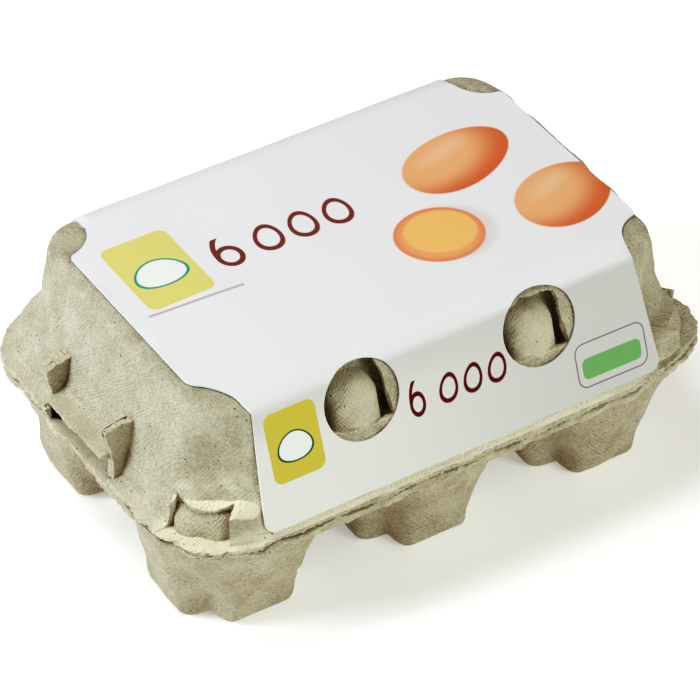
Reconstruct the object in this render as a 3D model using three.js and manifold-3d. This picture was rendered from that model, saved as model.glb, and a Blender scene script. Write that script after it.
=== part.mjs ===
// A closed six-egg carton: a moulded-pulp tray of six cups, a domed pulp lid and a paper label over it.
// Millimetres, +Z up, +X along the length, latch windows on the -Y side, origin mid-footprint on the floor.
import * as THREE from 'three';
import { mergeVertices } from 'three/addons/utils/BufferGeometryUtils.js';
import Module from 'manifold-3d';

const wasm = await Module();
wasm.setup();
const { degToRad, lerp, smoothstep } = THREE.MathUtils;

// ---- Driving dimensions ----
const PITCH = 48;              // egg to egg, along the length and across
const SEAM_Z = 31.8;           // where lid and tray meet
const TOP_Z = 64.4;            // flat top of the lid
const GAP = 0.3;               // clearance between touching pieces
const RIM_X = 74;              // half length over the rim
const RIM_Y = 50.8;            // half width over the rim
const RIM_RADIUS = 19;         // plan radius of the rim's corners
const RIM_THICKNESS = 2.3;     // of the tray's rim
const FOOT_REACH = 16.2;       // cup centre to the outer edge of a foot lobe, on the floor
const FOOT_RADIUS = 8.3;       // foot reach less the half width of a lobe
const FOOT_BEVEL = 2;          // roll from the foot into the wall
const MOUTH_REACH = 23.7;      // cup centre to its wall just under the rim
const MOUTH_RADIUS = 20.5;     // plan radius of the mouth's corners
const CUP_HOLLOW = 5.6;        // depth of the hollow down a cup's corner, at the foot
const HOLLOW_TOP_Z = 27;       // height at which that hollow has faded out
const PANEL_LEAN = 20.5;       // degrees that the long panels lean in from upright
const PANEL_FOOT_Y = 49.6;     // half width of the lid where the long panels start
const PANEL_FOOT_Z = 35.2;
const ROLL_RADIUS = 8.2;       // gentle roll of the top towards the long panels
const ROLL_TURN = 33;          // degrees that it turns through before the crease
const CREASE_RADIUS = 1.7;     // tight crease that turns the rest, into the panel
const LID_CORNER_RADIUS = 16;  // plan radius of the lid's corners low down
const TOP_CORNER_RADIUS = 8;   // and at the top
const END_CROWN = 1.8;         // bulge of the end walls in plan
const LID_HOLLOW = 4.6;        // depth of the hollow down the lid's corner
const LEDGE_Z = 40.6;          // shelf that ends the lid's corner hollow
const LEDGE_X = 70.8;          // half length over the boxes under the front shelves
const LEDGE_Y = 49.4;          // half width over them
const LEDGE_NOSE = 3.4;        // reach of the shelf over its lug, from the lug's axis
const WINDOW_X = PITCH / 2;    // the windows sit between the cup columns
const WINDOW_Z = 55.6;
const WINDOW_RADIUS = 10;      // of the round hole in the label
const PAPER = 0.5;             // thickness of the label
const LABEL_TOP_X = 59.8;      // half length of the label on the top
const LABEL_CREASE_X = 51.4;   // half length of its panels at the crease
const LABEL_FOOT_X = 54;       // and at their lower edge
const LABEL_FOOT_Z = 35.3;     // height of the label's lower edge
const NOTCH_X = 60.6;          // middle of the round notch at each corner of the label's top
const NOTCH_Y = 37.2;
const NOTCH_RADIUS = 9.3;
const LABEL_SHIFT = -1.8;      // how far towards the front the label is glued off centre
const HOOD_HALF = 14.8;        // half width of the end hood over its two cheeks
const CHEEK = 2;               // thickness of a cheek
const HOOD_X = 74.8;           // reach of the hood from the middle
const HOOD_TOP_Z = 48.6;
const HOOD_LIP_Z = 39.8;       // torn lower edge of the chute between the cheeks
const PULP = 1.7;              // thickness of a torn pulp sheet
const LID_STEPS = 10;          // facets round a quarter turn of the lid
const CUP_STEPS = 8;           // facets round a quarter turn of a cup
const FINEST = 0.01;           // details smaller than this are dropped from the finished meshes

// ---- Outlines and lofts ----

/** How far a corner hollow has opened at a fraction of the quarter turn: 0 at both ends, 1 midway. */
function hollowAt(turn) {
  return Math.sin(Math.PI * turn) ** 2;
}

/** Rounded rectangle about (cx, cy), counter-clockwise, its corners pushed in by a hollow. */
function outline({ cx = 0, cy = 0, halfX, halfY, radius, hollow = 0, steps = LID_STEPS, ends = [] }) {
  const straight = halfY - radius;
  const middle = ends.map((part) => part * straight);
  const quarters = [[1, 1], [-1, 1], [-1, -1], [1, -1]];
  const points = quarters.flatMap(([sx, sy], quarter) => {
    const arc = Array.from({ length: steps + 1 }, (_, i) => {
      const angle = degToRad(90 * (quarter + i / steps));
      const reach = radius - hollow * hollowAt(i / steps);
      return [sx * (halfX - radius) + reach * Math.cos(angle), sy * straight + reach * Math.sin(angle)];
    });
    return sx * sy > 0 ? arc : [...arc, ...middle.map((y) => [sx * halfX, sx * y])];
  });
  return points.map(([x, y]) => new THREE.Vector2(cx + x, cy + y));
}

/** Closed body through rings of equal point count, each { z, points }, from the bottom ring to the top. */
function loft(rings) {
  const count = rings[0].points.length;
  const corners = rings.flatMap(({ z, points }) => points.map((p) => new THREE.Vector3(p.x, p.y, z)));
  const positions = corners.flatMap((corner) => corner.toArray());
  const index = [];
  for (let start = 0; start < (rings.length - 1) * count; start += count) {
    for (let i = 0; i < count; i++) {
      const [a, b] = [start + i, start + (i + 1) % count];
      const [c, d] = [b + count, a + count];
      const rising = corners[a].distanceTo(corners[c]) < corners[b].distanceTo(corners[d]);
      index.push(...(rising ? [a, b, c, a, c, d] : [a, b, d, b, c, d]));
    }
  }
  const top = (rings.length - 1) * count;
  for (const [a, b, c] of THREE.ShapeUtils.triangulateShape(rings[0].points, [])) index.push(a, c, b);
  for (const [a, b, c] of THREE.ShapeUtils.triangulateShape(rings.at(-1).points, [])) {
    index.push(top + a, top + b, top + c);
  }
  const geometry = new THREE.BufferGeometry();
  geometry.setAttribute('position', new THREE.Float32BufferAttribute(positions, 3));
  geometry.setIndex(index);
  return geometry;
}

/** Smooth or straight-edged curve through [z, value] pairs, as a function of height. */
function profile(pairs, straight = false) {
  const knots = pairs.map(([z, value]) => new THREE.Vector2(z, value));
  const samples = straight ? knots : new THREE.SplineCurve(knots).getPoints(pairs.length * 12);
  return (z) => {
    const next = samples.findIndex((p, i) => i > 0 && p.x >= z);
    const [a, b] = next < 0 ? samples.slice(-2) : [samples[next - 1], samples[next]];
    return lerp(a.y, b.y, THREE.MathUtils.clamp((z - a.x) / (b.x - a.x), 0, 1));
  };
}

// ---- Solids ----

/** The solid of a closed three.js geometry. */
function solid(geometry) {
  geometry.deleteAttribute('normal');
  geometry.deleteAttribute('uv');
  const merged = mergeVertices(geometry, 1e-4);
  return new wasm.Manifold(new wasm.Mesh({
    numProp: 3,
    vertProperties: new Float32Array(merged.attributes.position.array),
    triVerts: new Uint32Array(merged.index.array),
  }));
}

/** Prism of a plane shape: along Z the shape lies in x, y; along Y it lies in x, z. */
function prism(shape, axis, from, to) {
  const depth = to - from;
  const geometry = new THREE.ExtrudeGeometry(shape, { depth, bevelEnabled: false, curveSegments: 8 });
  geometry.translate(0, 0, axis === 'Y' ? -to : from);
  if (axis === 'Y') geometry.rotateX(Math.PI / 2);
  return solid(geometry);
}

/** The solid turned about Z by an angle in degrees, then moved. */
function placed(body, degrees, x, y) {
  const matrix = new THREE.Matrix4().makeRotationZ(degToRad(degrees)).setPosition(x, y, 0);
  return body.transform(matrix.toArray());
}

/** The solid together with its mirror image across the middle of the length. */
function mirrored(body) {
  return body.add(body.mirror([1, 0, 0]));
}

/** All solids of a list joined in one. */
function joined(bodies) {
  return bodies.reduce((sum, body) => sum.add(body));
}

/** A plane shape from corner points. */
function polygon(points) {
  return new THREE.Shape(points.map(([x, y]) => new THREE.Vector2(x, y)));
}

/** A named mesh of a solid with its own plain material, its hair-thin facets merged away. */
function mesh(name, body, color, roughness) {
  const { vertProperties, triVerts } = body.simplify(FINEST).getMesh();
  const geometry = new THREE.BufferGeometry();
  geometry.setAttribute('position', new THREE.BufferAttribute(vertProperties, 3));
  geometry.setIndex(new THREE.BufferAttribute(triVerts, 1));
  geometry.computeVertexNormals();
  const material = new THREE.MeshStandardMaterial({ color, roughness, metalness: 0 });
  return Object.assign(new THREE.Mesh(geometry, material), { name });
}

// ---- Lugs: barrels that stand on the tray's rim and show through openings in the lid ----

const WINDOW_LUG = {
  halfWidth: 6.2, depth: 5, topZ: 62, footY: -39.8, topY: -34, leanFrom: 0.5, roundFrom: 0.7,
};
const CORNER_LUG = {
  halfWidth: 6.7, depth: 5.4, topZ: 39.4, footY: 0, topY: 2.2, leanFrom: 0.2, roundFrom: 0.88,
};
const WINDOW_LUG_SHIFT = -2;   // of a window lug from the middle of its window
const CORNER_LUG_X = 61.4;     // middle of a corner lug
const CORNER_LUG_Y = 38.2;
const LUG_CLEARANCE = 0.7;
const LUG_ROOT_Z = SEAM_Z - 1.5;
const POCKET_ROOT_Z = SEAM_Z - 0.5;
const LUG_LEVELS = [0, 0.3, 0.55, 0.7, 0.8, 0.88, 0.94, 0.98, 1];

/** Thumb-shaped barrel that bulges to -Y: upright low down, then leaning in to a broad round top. */
function barrel({ halfWidth, depth, topZ, footY, topY, leanFrom, roundFrom }, rootZ, grow) {
  const height = topZ + grow - rootZ;
  return solid(loft(LUG_LEVELS.map((level) => {
    const dome = Math.max(0, level - roundFrom) / (1 - roundFrom);
    const swell = Math.sqrt(1 - 0.9 * dome * dome);
    const halfX = (halfWidth + grow) * swell;
    const halfY = (depth + grow) * swell;
    const cy = lerp(footY, topY, smoothstep(level, leanFrom, 1));
    const points = outline({ cy, halfX, halfY, radius: 0.98 * Math.min(halfX, halfY), steps: 5 });
    return { z: rootZ + height * level, points };
  })));
}

/** A body in both front corners of the carton, drawn for the -Y direction and turned to face its corner. */
function inFrontCorners(body) {
  return [-1, 1].map((sx) => placed(body, 45 * sx, sx * CORNER_LUG_X, -CORNER_LUG_Y));
}

/** Every lug of the carton: two in the windows, one in each front corner. */
function lugs(rootZ, grow) {
  const window = barrel(WINDOW_LUG, rootZ, grow);
  const windows = [-1, 1].map((side) => window.translate([side * WINDOW_X + WINDOW_LUG_SHIFT, 0, 0]));
  return joined([...windows, ...inFrontCorners(barrel(CORNER_LUG, rootZ, grow))]);
}

// ---- Tray: six four-lobed cups under one rim ----

const RIM_FLOOR_Z = SEAM_Z - GAP / 2 - RIM_THICKNESS;

/** Reach of a cup's walls from its middle at each height. */
const cupWall = profile([[0, FOOT_REACH], [12, 18.9], [23.4, 21.6], [RIM_FLOOR_Z + 0.6, MOUTH_REACH]]);

/** One cup at (cx, cy): nearly round at the mouth, four-lobed at the foot, with hollows down its corners. */
function cup(cx, cy) {
  const levels = [0, 0.4, 1.1, 2, 5, 10, 15, 20, 25, RIM_FLOOR_Z + 0.6];
  return solid(loft(levels.map((z) => {
    const rise = z / RIM_FLOOR_Z;
    const bevel = FOOT_BEVEL * (1 - Math.sqrt(1 - (1 - Math.min(1, z / FOOT_BEVEL)) ** 2));
    const half = cupWall(z) - bevel;
    const radius = lerp(FOOT_RADIUS, MOUTH_RADIUS, rise);
    const hollow = CUP_HOLLOW * (1 - smoothstep(z, 0, HOLLOW_TOP_Z));
    return { z, points: outline({ cx, cy, halfX: half, halfY: half, radius, hollow, steps: CUP_STEPS }) };
  })));
}

/** The tray: rim plate, cups and lugs in one. */
function tray() {
  const rimTop = SEAM_Z - GAP / 2;
  const edge = [[RIM_FLOOR_Z, 0.5], [RIM_FLOOR_Z + 0.6, 0], [rimTop - 0.4, 0], [rimTop, 0.3]];
  const rim = solid(loft(edge.map(([z, inset]) => (
    { z, points: outline({ halfX: RIM_X - inset, halfY: RIM_Y - inset, radius: RIM_RADIUS }) }))));
  const cups = [-1, 0, 1].flatMap((column) => [-0.5, 0.5].map((row) => cup(column * PITCH, row * PITCH)));
  return joined([rim, ...cups, lugs(LUG_ROOT_Z, 0)]);
}

// ---- Lid ----

const LEAN = degToRad(PANEL_LEAN);
const ROLL_END = degToRad(90 - ROLL_TURN);
const LID_FLOOR_Z = SEAM_Z + GAP / 2;
const LID_EDGE_Z = LID_FLOOR_Z + 1.4;

/** Half width of the flat leaning panel at a height. */
function panelAt(z) {
  return PANEL_FOOT_Y - (z - PANEL_FOOT_Z) * Math.tan(LEAN);
}

/** The lid's long side in section, [y, z] from the panel's foot to the flat top, at a distance outside. */
function side(offset) {
  const reach = ROLL_RADIUS - CREASE_RADIUS;
  const creaseZ = TOP_Z - ROLL_RADIUS + reach * Math.sin(ROLL_END);
  const creaseY = panelAt(creaseZ + CREASE_RADIUS * Math.sin(LEAN)) - CREASE_RADIUS * Math.cos(LEAN);
  const arc = (cy, cz, radius, from, to, steps) => Array.from({ length: steps + 1 }, (_, i) => {
    const angle = lerp(from, to, i / steps);
    return [cy + (radius + offset) * Math.cos(angle), cz + (radius + offset) * Math.sin(angle)];
  });
  const rollY = creaseY - reach * Math.cos(ROLL_END);
  const roll = arc(rollY, TOP_Z - ROLL_RADIUS, ROLL_RADIUS, ROLL_END, Math.PI / 2, 5);
  return [
    [PANEL_FOOT_Y + offset * Math.cos(LEAN), PANEL_FOOT_Z + offset * Math.sin(LEAN)],
    ...arc(creaseY, creaseZ, CREASE_RADIUS, LEAN, ROLL_END, 3), ...roll.slice(1),
  ];
}

/** Half length of the lid over its end walls at each height, beside the corners. */
const endWall = profile([
  [LID_EDGE_Z, RIM_X - 0.5], [34.8, 70], [37, 68], [44.5, 66.3], [52.5, 64.5], [56.5, 63.5],
  [60, 62.4], [62.4, 61.5], [63.7, 60.4], [TOP_Z, 58.6],
]);

/** Half width of the lid at each height: a flared foot, the leaning panel, then the roll into the top. */
const panelWall = profile([
  [LID_EDGE_Z, RIM_Y - 0.2], [34.3, 50.3], ...side(0).map(([y, z]) => [z, y]),
], true);

/** One ring of the lid at a height, its ends bulging by a crown. */
function lidRing(z, { crown, ...plan }) {
  const bulge = (x, y) => x * (1 + crown / plan.halfX * (1 - (y / plan.halfY) ** 2));
  const points = outline({ ...plan, ends: [-0.6, -0.2, 0.2, 0.6] });
  return { z, points: points.map(({ x, y }) => new THREE.Vector2(bulge(x, y), y)) };
}

/** The plain lid: rim lip, walls with their corner hollows that end on a shelf, and the flat top. */
function lidBody() {
  const levels = [34.3, PANEL_FOOT_Z, 37.5, LEDGE_Z - 0.3, LEDGE_Z + 0.3, 44, 48, 52, 56, 59.5];
  const roll = side(0).slice(1).map(([, z]) => z);
  const edge = [[LID_FLOOR_Z, 0.3], [LID_FLOOR_Z + 0.4, 0], [LID_EDGE_Z - 0.3, 0.1]];
  const lip = edge.map(([z, inset]) => (
    lidRing(z, { halfX: RIM_X - inset, halfY: RIM_Y - inset, radius: RIM_RADIUS, crown: 0 })));
  const walls = [...levels, ...roll].map((z) => {
    const hollow = z > LEDGE_Z ? LID_HOLLOW * smoothstep(TOP_Z - z, 0.5, 17) : 0;
    const radius = lerp(LID_CORNER_RADIUS, TOP_CORNER_RADIUS, smoothstep(z, 48, TOP_Z));
    return lidRing(z, { halfX: endWall(z), halfY: panelWall(z), radius, hollow, crown: END_CROWN });
  });
  return solid(loft([...lip, ...walls]));
}

/** The boxes under the front shelves: a slightly larger outline, kept only round the two front corners. */
function cornerBoxes() {
  const edge = [[LID_FLOOR_Z + 1, -1], [LEDGE_Z - 0.9, 0], [LEDGE_Z - 0.2, 0.4], [LEDGE_Z, 1.2]];
  const ring = solid(loft(edge.map(([z, inset]) => (
    { z, points: outline({ halfX: LEDGE_X - inset, halfY: LEDGE_Y - inset, radius: LID_CORNER_RADIUS }) }))));
  const [innerX, innerY, far] = [54.8, -31.5, 90];
  const corner = polygon([[innerX, -far], [far, -far], [far, innerY], [innerX, innerY]]);
  return mirrored(ring.intersect(prism(corner, 'Z', 0, far)));
}

/** The openings in front of the lugs: two through the front panel, one in each corner box. */
function apertures() {
  const [deep, clear] = [6, 15];
  const window = prism(polygon([
    [-8.2, -6.2], [6.2, -6.8], [6.4, -5.4], [5.2, 8.2], [4.2, 8.8], [-6.4, 8.8], [-7.6, 8], [-9.1, -5],
  ]), 'Y', -clear, deep).rotate([-PANEL_LEAN, 0, 0]).translate([0, -panelAt(WINDOW_Z), WINDOW_Z]);
  const top = LEDGE_Z + 0.1;
  const corner = prism(polygon([
    [-7.2, LID_EDGE_Z], [7.2, LID_EDGE_Z], [7, top - 0.8], [6.4, top], [-6.4, top], [-7, top - 0.8],
  ]), 'Y', -20, -LEDGE_NOSE);
  const windows = [-1, 1].map((sx) => window.translate([sx * WINDOW_X, 0, 0]));
  return joined([...windows, ...inFrontCorners(corner)]);
}

/** The hood on the +X end wall: two upright cheeks and the chute that curls out between them. */
function hood() {
  const cheek = prism(polygon([
    [60, 33], [72.8, 33], [HOOD_X - 0.8, HOOD_LIP_Z], [HOOD_X, HOOD_TOP_Z - 2.2],
    [HOOD_X - 0.5, HOOD_TOP_Z - 1.2], [HOOD_X - 1.7, HOOD_TOP_Z - 0.8], [60, HOOD_TOP_Z + 0.6],
  ]), 'Y', 0, CHEEK);
  const curl = new THREE.SplineCurve([
    [65.7, 49.4], [67.6, 44], [69.2, 40.6], [71.4, HOOD_LIP_Z - 0.7], [HOOD_X + 0.1, HOOD_LIP_Z],
  ].map(([x, z]) => new THREE.Vector2(x, z))).getPoints(10);
  const under = curl.map((p) => new THREE.Vector2(p.x - 0.4, p.y - PULP)).reverse();
  const overlap = HOOD_HALF - 0.5 * CHEEK;
  const chute = prism(new THREE.Shape([...curl, ...under]), 'Y', -overlap, overlap);
  const wall = polygon([[55, 34], [68.9, 34], [68.9, 40], [65.5, 48.9], [55, 48.9]]);
  const cheeks = [HOOD_HALF - CHEEK, -HOOD_HALF].map((y) => cheek.translate([0, y, 0]));
  return joined([...cheeks, chute, prism(wall, 'Y', -HOOD_HALF, HOOD_HALF)]);
}

/** The space under the chute: a shallow vent between the cheeks, deeper beside the +Y cheek. */
function vent() {
  const inner = HOOD_HALF - CHEEK;
  const shallow = prism(polygon([
    [70.6, LID_FLOOR_Z - 1], [90, LID_FLOOR_Z - 1], [90, HOOD_LIP_Z - PULP], [71.2, HOOD_LIP_Z - PULP - 0.9],
  ]), 'Y', -inner, inner);
  const deep = prism(polygon([[63, 34.6], [71.5, 34.6], [71.5, 37.6], [63, 37]]), 'Y', 3, inner);
  return shallow.add(deep);
}

/** The lid: body, corner boxes and end hoods, less the pockets, openings and vents. */
function lid() {
  return joined([lidBody(), cornerBoxes(), mirrored(hood())])
    .subtract(mirrored(vent()))
    .subtract(lugs(POCKET_ROOT_Z, LUG_CLEARANCE))
    .subtract(apertures());
}

// ---- Label: a band of paper over the top and both long panels ----

/** The band's section across the width, from one panel's foot to the other's, at a distance off the lid. */
function section(offset) {
  const below = LABEL_FOOT_Z - 4;
  const half = [[panelAt(below) + offset / Math.cos(LEAN), below], ...side(offset).slice(1)];
  return [...half, ...half.toReversed().map(([y, z]) => [-y, z])];
}

/** Plan of the label: straight ends on the top, a round notch at each corner down to the narrower panels. */
function labelPlan() {
  const start = Math.PI + Math.acos((NOTCH_X - LABEL_TOP_X) / NOTCH_RADIUS);
  const bite = Array.from({ length: 9 }, (_, i) => {
    const angle = lerp(start, Math.PI, i / 8);
    return [NOTCH_X + NOTCH_RADIUS * Math.cos(angle), NOTCH_Y + NOTCH_RADIUS * Math.sin(angle)];
  });
  const corner = [...bite, [NOTCH_X - NOTCH_RADIUS, 60]];
  const flipped = (sx, sy) => corner.map(([x, y]) => [sx * x, sy * y]);
  return polygon([
    ...corner, ...flipped(-1, 1).reverse(), ...flipped(-1, -1), ...flipped(1, -1).reverse(),
  ].map(([x, y]) => [x, y + LABEL_SHIFT]));
}

/** Front view of the label's panels: sides that spread a little downwards and round lower corners. */
function labelFront() {
  const front = new THREE.Shape();
  const [corner, foot] = [3.2, LABEL_FOOT_Z];
  const spread = (LABEL_FOOT_X - LABEL_CREASE_X) / (TOP_Z - foot);
  front.moveTo(-LABEL_CREASE_X, TOP_Z + 2);
  front.lineTo(-LABEL_FOOT_X + corner * spread, foot + corner);
  front.quadraticCurveTo(-LABEL_FOOT_X, foot, -LABEL_FOOT_X + corner, foot);
  front.lineTo(LABEL_FOOT_X - corner, foot);
  front.quadraticCurveTo(LABEL_FOOT_X, foot, LABEL_FOOT_X - corner * spread, foot + corner);
  front.lineTo(LABEL_CREASE_X, TOP_Z + 2);
  return front;
}

/** Round punch along the front panel's normal, centred on the window at x. */
function punch(x) {
  const cylinder = new THREE.CylinderGeometry(WINDOW_RADIUS, WINDOW_RADIUS, 12, 36);
  cylinder.rotateX(-LEAN);
  cylinder.translate(x, -panelAt(WINDOW_Z), WINDOW_Z);
  return solid(cylinder);
}

/** The label: the band cut to its plan on top and its front view on the panels, the two windows punched. */
function label() {
  const rails = [...section(GAP), ...section(GAP + PAPER).toReversed()];
  const band = new THREE.ExtrudeGeometry(polygon(rails), { depth: 2 * LABEL_TOP_X + 2, bevelEnabled: false });
  band.translate(0, 0, -LABEL_TOP_X - 1);
  band.applyMatrix4(new THREE.Matrix4().set(0, 0, 1, 0, 1, 0, 0, 0, 0, 1, 0, 0, 0, 0, 0, 1));
  const onTop = prism(labelPlan(), 'Z', TOP_Z - 3, TOP_Z + 4);
  const onPanels = prism(labelFront(), 'Y', -70, 70);
  return solid(band).intersect(onTop.add(onPanels)).subtract(punch(-WINDOW_X)).subtract(punch(WINDOW_X));
}

// ---- Carton ----

const carton = new THREE.Group();
carton.add(mesh('tray', tray(), 0xb9b394, 0.95));
carton.add(mesh('lid', lid(), 0xc9c3a5, 0.95));
carton.add(mesh('label', label(), 0xf0f0ee, 0.5));

export default carton;
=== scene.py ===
"""A shut six-egg carton of moulded pulp under a printed paper label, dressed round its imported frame."""
import math

import bpy
import numpy as np
from mathutils import Matrix, Vector
from mathutils.geometry import delaunay_2d_cdt


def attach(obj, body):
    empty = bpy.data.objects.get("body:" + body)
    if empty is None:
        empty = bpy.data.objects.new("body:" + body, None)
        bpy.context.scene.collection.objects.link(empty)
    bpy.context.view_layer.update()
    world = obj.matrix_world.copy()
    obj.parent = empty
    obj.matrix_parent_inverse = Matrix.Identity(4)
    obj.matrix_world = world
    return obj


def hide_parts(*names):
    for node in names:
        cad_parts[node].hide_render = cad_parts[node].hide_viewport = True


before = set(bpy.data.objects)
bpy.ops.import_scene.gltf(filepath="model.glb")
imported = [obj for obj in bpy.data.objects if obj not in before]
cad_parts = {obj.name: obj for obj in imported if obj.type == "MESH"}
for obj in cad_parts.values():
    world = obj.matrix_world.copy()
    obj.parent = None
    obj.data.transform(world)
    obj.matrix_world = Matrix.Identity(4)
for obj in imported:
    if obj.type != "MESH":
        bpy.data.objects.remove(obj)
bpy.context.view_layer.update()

# ---- Driving dimensions, in millimetres; +X along the length, -Y the front with the windows, +Z up ----
MM = 0.001
PITCH = 48.0                   # from egg to egg, along the length and across
TOP_Z = 64.4
RIM_X = 74.0                   # half length of the rim
RIM_Y = 50.45                  # and half width
RIM_SHIFT = -0.65              # the rim sits this far towards the front
RIM_RADIUS = 19.0
LEAN = math.radians(20.5)      # of the long panels
PANEL_FOOT = (49.6, 35.2)      # half width and height where the panels start
ROLL_RADIUS = 8.2              # gentle roll of the top towards the panels
ROLL_TURN = math.radians(33)
CREASE_RADIUS = 1.7
END_CROWN = 1.8                # bulge of the end walls in plan
LID_HOLLOW = 4.6               # depth of the hollow down the lid's corners
CORNER_LUG = (61.4, -38.2)     # middle of the front right one
FOLD_ANGLE = math.radians(38)  # edges sharper than this are shaded sharp
HOOD_Y = 13.2                  # half width of the chute between an end's cheeks
LABEL_OFF = 0.8                # of the label's face from the lid
WINDOW_X = PITCH / 2
WINDOW_UP = 22.07              # window centre above the label's foot, along the panel
WINDOW_RADIUS = 9.8
WIRE_PITCH = 0.6               # of the forming mesh whose imprint the pulp shows


# ---- Numbers and waves ----

def rise(value, low, high):
    """0 below low and 1 above high, with an S-shaped rise between them."""
    t = np.clip((value - low) / (high - low), 0, 1)
    return t * t * (3 - 2 * t)


def curve(knots, at):
    """Smooth curve through (place, value) knots: a cubic on each span that takes its neighbours' slopes."""
    place, value = np.array(knots, float).T
    slope = np.gradient(value, place)
    at = np.clip(at, place[0], place[-1])
    i = np.clip(np.searchsorted(place, at) - 1, 0, len(place) - 2)
    span = place[i + 1] - place[i]
    t = (at - place[i]) / span
    return ((2 * t**3 - 3 * t**2 + 1) * value[i] + (t**3 - 2 * t**2 + t) * span * slope[i]
            + (3 * t**2 - 2 * t**3) * value[i + 1] + (t**3 - t**2) * span * slope[i + 1])


def ripples(points, wavelength, seed, waves=12):
    """Unevenness of unit strength: a sum of sine waves of about one wavelength in random directions."""
    draw = np.random.default_rng(seed)
    total = np.zeros(points.shape[:-1])
    for _ in range(waves):
        way = draw.normal(size=3)
        way *= 2 * np.pi / wavelength * draw.uniform(0.7, 1.5) / np.linalg.norm(way)
        total += np.sin(points @ way + draw.uniform(0, 2 * np.pi))
    return total * math.sqrt(2 / waves)


def torn(points, seed):
    """Unevenness of a torn pulp edge: coarse, middling and fine ripples together."""
    return (0.5 * ripples(points, 11, seed) + 0.35 * ripples(points, 3.6, seed + 1)
            + 0.3 * ripples(points, 1.3, seed + 2))


def stack(x, y, z):
    """Grid of points from three arrays that are spread over each other."""
    return np.stack(np.broadcast_arrays(x, y, z), axis=-1).astype(float)


# ---- Meshes ----

def grid_part(points, closed=True):
    """A part from a grid of points whose rows run upwards and whose columns run counter-clockwise: its
    vertices, faces and flat places, which are the lengths along the columns and rows. Each face joins four
    neighbours of the grid. A closed part's last column meets its first, and a fan of triangles shuts it
    below and above."""
    rows, columns = points.shape[:2]
    round_trip = np.concatenate([points[rows // 2], points[rows // 2][:1]])
    u = np.concatenate([[0], np.cumsum(np.linalg.norm(np.diff(round_trip, axis=0), axis=1))])
    v = np.concatenate([[0], np.cumsum(np.linalg.norm(np.diff(points, axis=0), axis=2).mean(axis=1))])
    i, j = np.meshgrid(np.arange(rows - 1), np.arange(columns if closed else columns - 1), indexing="ij")
    i, j, k = i.ravel(), j.ravel(), (j.ravel() + 1) % columns
    row, above = i * columns, (i + 1) * columns
    quads = np.stack([row + j, row + k, above + k, above + j], 1)
    flat_u = np.stack([u[j], u[j + 1], u[j + 1], u[j]], 1)
    flat_v = np.stack([v[i], v[i], v[i + 1], v[i + 1]], 1)
    flats = np.stack([flat_u, flat_v], 2)
    if not closed:
        return points.reshape(-1, 3), [quads], [flats]
    vertices = np.concatenate([points.reshape(-1, 3), points[[0, -1]].mean(axis=1)])
    low = np.full(columns, rows * columns)
    top = (rows - 1) * columns
    j = np.arange(columns)
    k = (j + 1) % columns
    fans = [np.stack([k, j, low], 1), np.stack([top + j, top + k, low + 1], 1)]
    fan_flats = [vertices[fan][..., :2] for fan in fans]
    return vertices, [quads, *fans], [flats, *fan_flats]


def make_piece(name, parts, material, stands_for=None, slot=None):
    """One smooth-shaded object from parts in millimetres, with their flat places as its UV map. With a slot
    it rides on the carton."""
    vertices, faces, flats, start = [], [], [], 0
    for part_vertices, part_faces, part_flats in parts:
        vertices.append(part_vertices)
        faces += [group + start for group in part_faces]
        flats += part_flats
        start += len(part_vertices)
    mesh = bpy.data.meshes.new(name)
    counts = np.concatenate([np.full(len(group), group.shape[1]) for group in faces])
    corners = np.concatenate([group.ravel() for group in faces])
    mesh.vertices.add(start)
    mesh.loops.add(len(corners))
    mesh.polygons.add(len(counts))
    mesh.vertices.foreach_set("co", (np.concatenate(vertices) * MM).astype(np.float32).ravel())
    mesh.polygons.foreach_set("loop_start", np.concatenate([[0], np.cumsum(counts)[:-1]]).astype(np.int32))
    mesh.loops.foreach_set("vertex_index", corners.astype(np.int32))
    mesh.polygons.foreach_set("use_smooth", np.ones(len(counts), bool))
    mesh.update(calc_edges=True)
    places = np.concatenate([flat.reshape(-1, 2) for flat in flats])
    mesh.uv_layers.new(name="UVMap").data.foreach_set("uv", places.astype(np.float32).ravel())
    mesh.materials.append(material)
    piece = bpy.data.objects.new(name, mesh)
    bpy.context.scene.collection.objects.link(piece)
    if slot:
        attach(piece, "root")
    if stands_for:
        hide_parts(stands_for)
    return piece


def finish_with(piece, kind, **settings):
    """Adds one modifier to the piece and applies it."""
    modifier = piece.modifiers.new(kind.title(), kind)
    for name, value in settings.items():
        setattr(modifier, name, value)
    graph = bpy.context.evaluated_depsgraph_get()
    made = bpy.data.meshes.new_from_object(piece.evaluated_get(graph))
    old = piece.data
    piece.modifiers.clear()
    piece.data = made
    bpy.data.meshes.remove(old)


def carve(piece, cutters):
    """Cuts closed parts out of the piece and shades its sharp edges sharp. The cut can fail on a shape that
    differs only a little, and then it leaves the piece nearly empty."""
    tool = make_piece("cutter", [grid_part(points) for points in cutters], piece.data.materials[0])
    finish_with(piece, "BOOLEAN", operation="DIFFERENCE", solver="EXACT", object=tool)
    mesh = tool.data
    bpy.data.objects.remove(tool)
    bpy.data.meshes.remove(mesh)
    piece.data.set_sharp_from_angle(angle=FOLD_ANGLE)


def mark_painted_light(piece, painted_light_at):
    """Stores on each vertex the painted light of its pulp, from -1 for painted shade to 1 for painted
    highlight: a function of the places in millimetres and the normals."""
    mesh = piece.data
    places, normals = np.empty((2, 3 * len(mesh.vertices)), np.float32)
    mesh.vertices.foreach_get("co", places)
    mesh.vertices.foreach_get("normal", normals)
    painted_light = painted_light_at(places.reshape(-1, 3) / MM, normals.reshape(-1, 3))
    mesh.attributes.new("painted_light", "FLOAT", "POINT").data.foreach_set("value", painted_light.astype(np.float32))


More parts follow.
